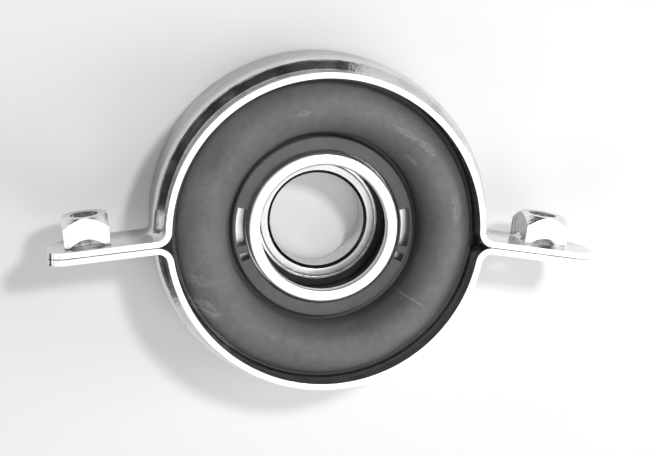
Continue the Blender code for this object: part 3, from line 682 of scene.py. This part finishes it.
# Each scuff or painted highlight: its middle, its half length and half width, its turn in degrees, and its
# strength
SCUFFS_AND_PAINTED_HIGHLIGHT = (((-0.0370, -0.0240), (0.0065, 0.0035), -22.0, 0.80),
          ((-0.0335, -0.0345), (0.0085, 0.0028), -32.0, 0.75),
          ((-0.0390, -0.0150), (0.0045, 0.0025), -20.0, 0.40),
          ((-0.0085, 0.0365), (0.0030, 0.0012), 16.0, 0.60),
          # These two entries are a painted highlight along the fold's crest at the upper right, not scuffs
          ((0.0230, 0.0310), (0.0060, 0.0016), -28.0, 0.50),
          ((0.0300, 0.0265), (0.0050, 0.0016), -42.0, 0.45),
          ((0.0255, 0.0225), (0.0030, 0.0010), -40.0, 0.45),
          ((0.0400, 0.0080), (0.0065, 0.0022), -86.0, 0.40),
          ((0.0270, -0.0210), (0.0055, 0.0004), -27.0, 0.90))

strap_low, strap_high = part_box("upper_strap")
strap_front = strap_high.z
strap_rear = strap_low.z
strap_rear_radius = STRAP_FRONT_RADIUS + STRAP_JOGGLE
joggle_front = strap_front - FRONT_BAND
joggle_rear = joggle_front - JOGGLE_LENGTH
collar = strap_rear_radius - SEAT_GAP
front_collar = STRAP_FRONT_RADIUS - SEAT_GAP
cushion_rear = strap_rear + CUSHION_REAR_STEP
cushion_shoulder = joggle_rear - SEAT_GAP
lip_radius = sleeve_high.x - LIP_SETBACK
fold_inner = lip_radius + GROOVE_WIDTH
fold_outer = front_collar - CUSHION_EDGE_GAP
crest_radius = (fold_inner + fold_outer) / 2
crest_half = (fold_outer - fold_inner) / 2
crest_middle = (crest_radius, strap_front - CREST_DROP - crest_half)
hollow_outer = collar - CUSHION_COLLAR_WALL
bond = sleeve_high.x + SEAT_GAP
hollow_inner = bond + CUSHION_INNER_WALL
lip_base = flange_top + SEAT_GAP
lip_top = flange_top + LIP_HEIGHT
neck = COVER_NECK_RADIUS + 2 * SEAT_GAP
groove_bottom = lip_top - GROOVE_DEPTH

cushion_outline = [(collar, cushion_shoulder), (collar, cushion_rear), (hollow_outer, cushion_rear),
                   (hollow_outer - CUSHION_DRAFT, cushion_shoulder)]
cushion_outline += arc(crest_middle, crest_half - CUSHION_WALL, 0, 180, FOLD_STEPS // 2)
cushion_outline += [(hollow_inner, sleeve_high.z), (hollow_inner, CUSHION_REAR_STEP),
                    (bond, CUSHION_REAR_STEP), (bond, lip_base), (neck, lip_base)]
cushion_outline += arc((neck + LIP_ROUND, lip_top - LIP_ROUND), LIP_ROUND, 180, 90, ROLL_STEPS)
cushion_outline += arc((lip_radius - LIP_ROUND, lip_top - LIP_ROUND), LIP_ROUND, 90, 0, ROLL_STEPS)
cushion_outline += [(lip_radius + GROOVE_DRAFT, groove_bottom), (fold_inner - GROOVE_DRAFT, groove_bottom)]
cushion_outline += arc(crest_middle, crest_half, 180, 0, FOLD_STEPS)
cushion_outline += [(fold_outer, joggle_front + 2 * CUSHION_EDGE_SEAT),
                    (front_collar, joggle_front + CUSHION_EDGE_SEAT), (front_collar, joggle_front)]


def moulded_rubber():
    """Natural rubber: a satin skin with flow marks, rings from the mould's turning and pale scuffs, with
    painted shade on the fold's flanks and a painted highlight on its crest.
    """
    material, tree, shader, place = new_material("cushion_rubber", 0.0, RUBBER_SPECULAR)
    marks = noise(tree, place, *FLOW_MARKS)
    dust = noise(tree, place, *DUST)
    mottled = add_node(tree, "ShaderNodeMix", {"Factor": DUST_SHARE, "A": marks, "B": dust})
    skin = mixed_colour(tree, mottled.outputs["Result"], RUBBER_COLOUR, RUBBER_PALE, *RUBBER_REACH)
    # Painted shade: the rubber darkens away from the fold's crest, over both flanks.
    off_crest = calculated(tree, "SUBTRACT", axis_distance(tree, place), crest_radius + CREST_SHIFT)
    away = calculated(tree, "ABSOLUTE", off_crest)
    shade = between(tree, away, crest_half / 4, crest_half, 0.0, PAINTED_FLANK_SHADE_SHARE)
    colour = covered(tree, shade, skin, PAINTED_FLANK_SHADE_COLOUR)
    # Pale scuffs, two of which are a painted highlight on the crest
    for (middle_x, middle_y), (half_length, half_width), degrees, strength in SCUFFS_AND_PAINTED_HIGHLIGHT:
        spot = add_node(tree, "ShaderNodeMapping",
                        {"Vector": place, "Location": (middle_x, middle_y, 0.0),
                         "Rotation": (0.0, 0.0, math.radians(degrees)),
                         "Scale": (half_length, half_width, 1.0)}, vector_type="TEXTURE")
        flat = flattened(tree, spot.outputs["Vector"])
        patch = add_node(tree, "ShaderNodeTexGradient", {"Vector": flat}, gradient_type="SPHERICAL")
        broad = between(tree, patch.outputs["Fac"], 0.0, SCUFF_AND_HIGHLIGHT_EDGE, 0.0, 1.0)
        streaks = between(tree, noise(tree, flat, *SCUFF_AND_HIGHLIGHT_STREAKS), *STREAK_REACH, 0.0, strength)
        colour = covered(tree, calculated(tree, "MULTIPLY", broad, streaks), colour, RUBBER_SCUFF_AND_HIGHLIGHT)
    grain = noise(tree, place, *RUBBER_GRAIN)
    relief = calculated(tree, "ADD", grain, ring_pattern(tree, place, *MOULD_RINGS))
    finish(tree, shader, colour, marks, RUBBER_ROUGHNESS, relief, RUBBER_DEPTH)
    return material


def window_cutter(name, middle, spread, steps, material):
    """Return a curved block that opens a window in the lip, down to the dust cover's flange."""
    inner = neck + WINDOW_STRIP
    outer = lip_radius - WINDOW_RIM
    bottom = lip_base - CUT_MARGIN
    top = lip_top + CUT_MARGIN
    block = bmesh.new()
    corners = [block.verts.new((radius, 0.0, height)) for radius, height in
               ((inner, bottom), (outer, bottom), (outer, top), (inner, top))]
    face = block.faces.new(corners)
    turn_round(block, corners, middle - spread / 2)
    sweep(block, [face] + list(face.edges) + corners, spread, steps)
    bmesh.ops.recalc_face_normals(block, faces=block.faces)
    return new_piece(name, block, material)


rubber = moulded_rubber()
cushion_shape = turned_shape(cushion_outline, PRESSED_CORNER, CUSHION_STEPS)
cushion = new_piece("moulded_rubber_cushion", cushion_shape, rubber)
windows = []
for label, middle, turn in (("left", math.pi, 1), ("right", 0.0, -1)):
    notch_middle = middle + turn * NOTCH_OFFSET
    windows.append(window_cutter("window_" + label, middle, WINDOW_ANGLE, WINDOW_STEPS, rubber))
    windows.append(window_cutter("notch_" + label, notch_middle, NOTCH_ANGLE, NOTCH_STEPS, rubber))
subtract(cushion, windows)
shade_evenly(cushion)
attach(cushion, "housing")
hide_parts("rubber_cushion")


# Straps
# Two halves of 1.8 mm sheet, pressed to shape and zinc plated, clamp the cushion between them.
# A joggle runs round each, and their ears meet face to face where the bolts pass through.
SHEET = 0.0018
BEND_RADIUS = 0.0030
EAR_DROOP = math.radians(7.2)
EAR_LEVEL = 0.0021
EAR_WIDTH = 0.0227
EAR_RELIEF = 0.0010
EAR_TIP_LENGTH = 0.0047
EAR_CORNER_LENGTH = 0.0065
EAR_CORNER_WIDTH = 0.0115
EAR_FRONT_ROUND = 0.0020
SPLIT_GAP = 0.0008
BOLT_SPACING = 0.1411
BOLT_SHIFT = -0.00165
BOLT_HOLE_RADIUS = 0.0055
EDGE_ROUND = 0.00045
EDGE_SEGMENTS = 2
EASED_ANGLE = math.radians(50.0)
STRAP_SHARP_ANGLE = math.radians(40.0)
ARC_COLUMNS = 72
BEND_COLUMNS = 12
JOGGLE_ROWS = 12
CORNER_ROWS = 6
HOLE_STEPS = 64
STRAP_CLOUDS = (160.0, 7.0)
STRAP_PEEL = (700.0, 4.0, 0.6)
DIE_MARKS = (1.0, 4.0)
DIE_MARK_STRETCH = (60.0, 60.0, 1500.0)
STRAP_ROUGHNESS = (0.10, 0.24)
STRAP_RELIEF_DEPTH = 0.00016
STRAP_RELIEF_STRENGTH = 0.6
# Painted dark reflection on the straps' rear band: its strength and its colour
PAINTED_BAND_REFLECTION_SHARE = 0.85
PAINTED_BAND_REFLECTION_COLOUR = (0.30, 0.30, 0.31, 1.0)

ear_tip = strap_high.x
ear_rear = strap_front - EAR_WIDTH
ear_middle = (ear_rear + strap_front) / 2
bend_outside = BEND_RADIUS + SHEET


def joggle_radius(height):
    """Return the radius of a strap's rubber side: wide at the rear, narrow at the front."""
    share = min(1.0, max(0.0, (height - joggle_rear) / JOGGLE_LENGTH))
    return strap_rear_radius - STRAP_JOGGLE * (3 * share ** 2 - 2 * share ** 3)


def ear_frame(side):
    """Return an ear's outward direction and its upward normal, for side 1 (right) or -1 (left)."""
    outward = Vector((side * math.cos(EAR_DROOP), -math.sin(EAR_DROOP), 0.0))
    return outward, Vector((side * math.sin(EAR_DROOP), math.cos(EAR_DROOP), 0.0))


def bend_centre(radius, turn):
    """Return the axis of the bend into the right ear, for turn 1 (upper strap) or -1 (lower strap)."""
    outward, upward = ear_frame(1)
    level = EAR_LEVEL + (SEAT_GAP / 2 + bend_outside) * turn
    return outward * math.sqrt((radius + bend_outside) ** 2 - level ** 2) + upward * level


def arc_point(column, height, turn):
    """Return a point of the strap's half arc, from its middle to the bend."""
    radius = joggle_radius(height)
    centre = bend_centre(radius, turn)
    start = math.pi / 2 * turn
    angle = start + (math.atan2(centre.y, centre.x) - start) * column / ARC_COLUMNS
    return Vector((radius * math.cos(angle), radius * math.sin(angle), height))


def band_end_point(column, height, turn):
    """Return a point of the arc behind the ear, down to the line where the straps part."""
    radius = joggle_radius(height)
    centre = bend_centre(radius, turn)
    start = math.atan2(centre.y, centre.x)
    end = math.asin((EAR_LEVEL + SPLIT_GAP / 2 * turn) / radius) - EAR_DROOP
    angle = start + (end - start) * column / BEND_COLUMNS
    return Vector((radius * math.cos(angle), radius * math.sin(angle), height))


def ear_reach(height):
    """Return how far the ear reaches at a height: its front corner is rounded."""
    from_front = strap_front - height
    if from_front >= EAR_FRONT_ROUND:
        return ear_tip
    return ear_tip - EAR_FRONT_ROUND + math.sqrt(EAR_FRONT_ROUND ** 2 - (EAR_FRONT_ROUND - from_front) ** 2)


def ear_point(column, height, turn):
    """Return a point of the bend and then of the ear, a drooping plate with a level tip."""
    outward, upward = ear_frame(1)
    centre = bend_centre(joggle_radius(height), turn)
    first = math.atan2(-centre.y, -centre.x)
    last = math.atan2(-upward.y * turn, -upward.x * turn)
    bent = (last - first + math.pi) % (2 * math.pi) - math.pi
    angle = first + bent * min(column, BEND_COLUMNS) / BEND_COLUMNS
    spoke = Vector((math.cos(angle), math.sin(angle), 0.0)) * bend_outside
    foot = Vector((centre.x, centre.y, height)) + spoke
    knee = foot + outward * (ear_tip - EAR_TIP_LENGTH - foot.x) / math.cos(EAR_DROOP)
    past_bend = (foot, knee, Vector((ear_reach(height), knee.y, height)))
    return past_bend[max(0, column - BEND_COLUMNS)]


def add_sheet(shape, columns, heights, place, turn):
    """Add a grid to a shape and lay each of its points at its column and height."""
    made = bmesh.ops.create_grid(shape, x_segments=columns, y_segments=len(heights) - 1, size=1.0)["verts"]
    for index, vertex in enumerate(made):
        row, column = divmod(index, columns + 1)
        vertex.co = place(column, heights[row], turn)


def strap_shape(turn):
    """Return one strap's rubber side as a sheet: half of it is laid out, and the other half mirrored."""
    shape = bmesh.new()
    joggle = [joggle_rear + JOGGLE_LENGTH * step / JOGGLE_ROWS for step in range(JOGGLE_ROWS + 1)]
    corner = [strap_front - EAR_FRONT_ROUND * (1 - math.sin(math.pi / 2 * step / CORNER_ROWS))
              for step in range(CORNER_ROWS + 1)]
    behind = [strap_rear, (strap_rear + ear_rear) / 2, ear_rear - EAR_RELIEF]
    beside = [ear_rear] + joggle + corner
    add_sheet(shape, ARC_COLUMNS, behind + beside, arc_point, turn)
    add_sheet(shape, BEND_COLUMNS, behind, band_end_point, turn)
    add_sheet(shape, BEND_COLUMNS + 2, beside, ear_point, turn)
    bmesh.ops.remove_doubles(shape, verts=shape.verts, dist=MERGE_DISTANCE)
    slant = math.atan2(EAR_CORNER_LENGTH, EAR_CORNER_WIDTH)
    ear = [face for face in shape.faces if face.calc_center_median().x > ear_tip - EAR_WIDTH]
    parts = set(ear)
    for face in ear:
        parts.update(face.edges, face.verts)
    bmesh.ops.bisect_plane(shape, geom=list(parts), dist=MERGE_DISTANCE, clear_outer=True,
                           plane_co=(ear_tip - EAR_CORNER_LENGTH / 2, 0.0, ear_rear + EAR_CORNER_WIDTH / 2),
                           plane_no=(math.cos(slant), 0.0, -math.sin(slant)))
    bmesh.ops.mirror(shape, geom=shape.verts[:] + shape.edges[:] + shape.faces[:], axis="X",
                     merge_dist=MERGE_DISTANCE)
    bmesh.ops.recalc_face_normals(shape, faces=shape.faces)
    highest = max(shape.faces, key=lambda face: turn * face.calc_center_median().y)
    if highest.normal.y * turn < 0:
        bmesh.ops.reverse_faces(shape, faces=shape.faces)
    return shape


def bolt_matrix(side):
    """Return the matrix that stands a piece on the plane where the ears meet, along a bolt's axis."""
    outward, upward = ear_frame(side)
    along = (BOLT_SPACING / 2 + side * BOLT_SHIFT - EAR_LEVEL * math.sin(EAR_DROOP)) / math.cos(EAR_DROOP)
    spot = outward * along + upward * EAR_LEVEL + Vector((0.0, 0.0, ear_middle))
    rotation = Matrix((outward, upward.cross(outward), upward)).transposed()
    return Matrix.Translation(spot) @ rotation.to_4x4()


def pressed_strap_steel():
    """Zinc plating over pressed sheet: die marks along the bands, and a painted dark reflection over the
    rear band that fades out across the joggle.
    """
    material, tree, shader, place = new_material("zinc_plated_straps", 1.0)
    clouds = noise(tree, place, *STRAP_CLOUDS)
    stretched = add_node(tree, "ShaderNodeMapping", {"Vector": place, "Scale": DIE_MARK_STRETCH})
    marks = noise(tree, stretched.outputs["Vector"], *DIE_MARKS)
    height = add_node(tree, "ShaderNodeSeparateXYZ", {"Vector": place}).outputs["Z"]
    # Painted dark reflection: the rear band is darkened, fading out over the joggle towards the front band.
    painted_dark_reflection = between(tree, height, joggle_rear - JOGGLE_LENGTH, joggle_front, PAINTED_BAND_REFLECTION_SHARE, 0.0)
    bright = mixed_colour(tree, clouds, PLATED_DARK, PLATED_COLOUR, *PLATED_REACH)
    relief = calculated(tree, "ADD", noise(tree, place, *STRAP_PEEL), marks)
    finish(tree, shader, covered(tree, painted_dark_reflection, bright, PAINTED_BAND_REFLECTION_COLOUR), clouds, STRAP_ROUGHNESS,
           relief, STRAP_RELIEF_DEPTH, STRAP_RELIEF_STRENGTH)
    return material


strap_steel = pressed_strap_steel()
for label, turn in (("upper", 1), ("lower", -1)):
    strap = new_piece("pressed_%s_strap" % label, strap_shape(turn), strap_steel)
    thicken = strap.modifiers.new("sheet", "SOLIDIFY")
    thicken.thickness = SHEET
    thicken.offset = 1.0
    thicken.use_even_offset = True
    settle(strap)
    drills = []
    for side in (-1, 1):
        drill = bmesh.new()
        bmesh.ops.create_cone(drill, cap_ends=True, segments=HOLE_STEPS, radius1=BOLT_HOLE_RADIUS,
                              radius2=BOLT_HOLE_RADIUS, depth=EAR_WIDTH / 2, matrix=bolt_matrix(side))
        drills.append(new_piece("drill", drill, strap_steel))
    subtract(strap, drills)
    easing = strap.modifiers.new("eased edges", "BEVEL")
    easing.width = EDGE_ROUND
    easing.segments = EDGE_SEGMENTS
    easing.limit_method = "ANGLE"
    easing.angle_limit = EASED_ANGLE
    settle(strap)
    strap.data.shade_smooth()
    strap.data.set_sharp_from_angle(angle=STRAP_SHARP_ANGLE)
    shade_evenly(strap)
    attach(strap, "housing")
    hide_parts(label + "_strap")


# Weld nuts
# A square nut stands on the upper ear over each bolt hole, welded by the feet at its four corners.
# Its top is chamfered all round, so each side ends in an arch, and its bore is threaded.
NUT_ACROSS_FLATS = 0.0140
NUT_HEIGHT = 0.0086
NUT_HOLE_RADIUS = 0.00425
NUT_CHAMFER_ANGLE = math.radians(48.0)
NUT_FOOT_HEIGHT = 0.0022
NUT_FOOT_WIDTH = 0.0011
NUT_TURN = {"left": 0.0, "right": math.radians(5.0)}
NUT_STEPS = 96
NUT_EDGE = 0.00022
THREAD_PITCH = 0.00125
THREAD_DEPTH = 0.00055
THREAD_HALF = 0.45 * THREAD_PITCH
THREAD_STEPS = 40


def nut_blank(flat, corner_radius, half):
    """Return the square blank with its bore, chamfered top and hollowed foot."""
    blank = bmesh.new()
    bmesh.ops.create_cone(blank, cap_ends=True, segments=4, radius1=corner_radius,
                          radius2=corner_radius, depth=NUT_HEIGHT)
    upright = [edge for edge in blank.edges if abs(edge.verts[0].co.z - edge.verts[1].co.z) > half]
    bmesh.ops.bevel(blank, geom=upright, offset=NUT_EDGE, affect="EDGES",
                    segments=CORNER_SEGMENTS, profile=0.5, material=-1)
    piece = new_piece("square_nut", blank, strap_steel)
    bore = bmesh.new()
    bmesh.ops.create_cone(bore, cap_ends=True, segments=NUT_STEPS, radius1=NUT_HOLE_RADIUS,
                          radius2=NUT_HOLE_RADIUS, depth=2 * NUT_HEIGHT)
    flare = (corner_radius - NUT_FOOT_WIDTH - flat) / NUT_FOOT_HEIGHT
    depth = NUT_FOOT_HEIGHT + CUT_MARGIN
    sunk = Matrix.Translation((0.0, 0.0, NUT_FOOT_HEIGHT - half - depth / 2))
    hollow = bmesh.new()
    bmesh.ops.create_cone(hollow, cap_ends=True, segments=NUT_STEPS, depth=depth,
                          radius1=flat + flare * depth, radius2=flat, matrix=sunk)
    outer = corner_radius + CUT_MARGIN
    shoulder = half - (outer - flat) * math.tan(NUT_CHAMFER_ANGLE)
    waste = turned_shape([(flat, half), (flat, half + CUT_MARGIN), (outer, half + CUT_MARGIN),
                          (outer, shoulder)], NUT_EDGE / 10, NUT_STEPS)
    subtract(piece, [new_piece("bore", bore, strap_steel), new_piece("hollow", hollow, strap_steel),
                     new_piece("waste", waste, strap_steel)])
    return piece


def thread_shape(half):
    """Return the thread in a nut's bore: a ridge that climbs round it, sunk into its wall."""
    shape = bmesh.new()
    root = NUT_HOLE_RADIUS + THREAD_DEPTH / 4
    start = -half + NUT_FOOT_HEIGHT + THREAD_PITCH
    profile = [shape.verts.new((radius, 0.0, start + height)) for radius, height in
               ((root, -THREAD_HALF), (root, THREAD_HALF), (root - THREAD_DEPTH, 0.0))]
    face = shape.faces.new(profile)
    turns = (half - start) / THREAD_PITCH - 1
    steps = round(turns * THREAD_STEPS)
    sweep(shape, [face] + list(face.edges) + profile, 2 * math.pi * steps / THREAD_STEPS, steps,
          dvec=(0.0, 0.0, THREAD_PITCH / THREAD_STEPS))
    bmesh.ops.recalc_face_normals(shape, faces=shape.faces)
    return shape


for label, side in (("left", -1), ("right", 1)):
    flat = NUT_ACROSS_FLATS / 2
    half = NUT_HEIGHT / 2
    nut = nut_blank(flat, flat / math.cos(math.pi / 4), half)
    shape = bmesh.new()
    shape.from_mesh(nut.data)
    thread = bpy.data.meshes.new("thread")
    ridge = thread_shape(half)
    ridge.to_mesh(thread)
    ridge.free()
    shape.from_mesh(thread)
    seat = Matrix.Translation((0.0, 0.0, SEAT_GAP / 2 + SHEET + SEAT_GAP + half))
    squared = Matrix.Rotation(NUT_TURN[label] + math.pi / 4, 4, "Z")
    bmesh.ops.transform(shape, matrix=bolt_matrix(side) @ seat @ squared, verts=shape.verts)
    bpy.data.objects.remove(nut)
    nut = new_piece(label + "_weld_nut", shape, strap_steel)
    shade_evenly(nut)
    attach(nut, "housing")
    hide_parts(label + "_nut")
